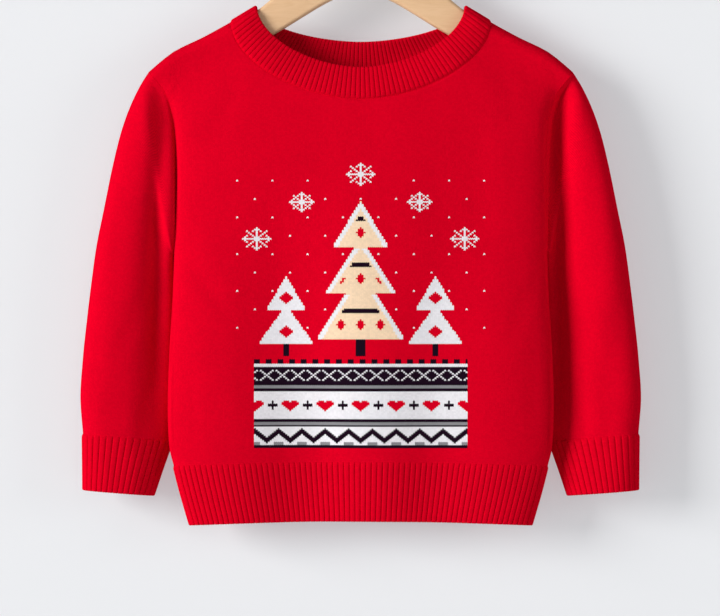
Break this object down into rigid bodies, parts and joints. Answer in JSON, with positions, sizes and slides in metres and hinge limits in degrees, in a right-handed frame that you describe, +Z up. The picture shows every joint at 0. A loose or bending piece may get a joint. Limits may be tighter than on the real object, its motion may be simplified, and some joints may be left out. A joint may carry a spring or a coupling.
{
  "type": "christmas sweater on a wooden hanger",
  "caption": "Child's red knitted crew-neck christmas sweater with ribbed collar, cuffs and hem, hanging flat on a flat wooden hanger with a wire hook.",
  "frame": {"origin": "inside top of the hanger's hook, where it sits on a rail", "axes": "+Z up along the hook's shank, -Y out of the garment's front, +X towards the wearer's left"},
  "size_m": [0.4602, 0.0579, 0.5441],
  "materials": {
    "red_knit": "fine plain knit, matt with a soft nap",
    "red_rib": "two-by-one ribbed knit, matt",
    "beech": "satin lacquered beech",
    "hook_steel": "bright plated wire"
  },
  "bodies": {
    "root": {"front_panel": "red_knit", "back_panel": "red_knit", "sleeve_right": "red_knit", "sleeve_left": "red_knit", "cuff_right": "red_rib", "cuff_left": "red_rib", "hem_front": "red_rib", "hem_back": "red_rib", "collar": "red_rib", "hanger_board": "beech", "hanger_hook": "hook_steel"}
  },
  "joints": []
}
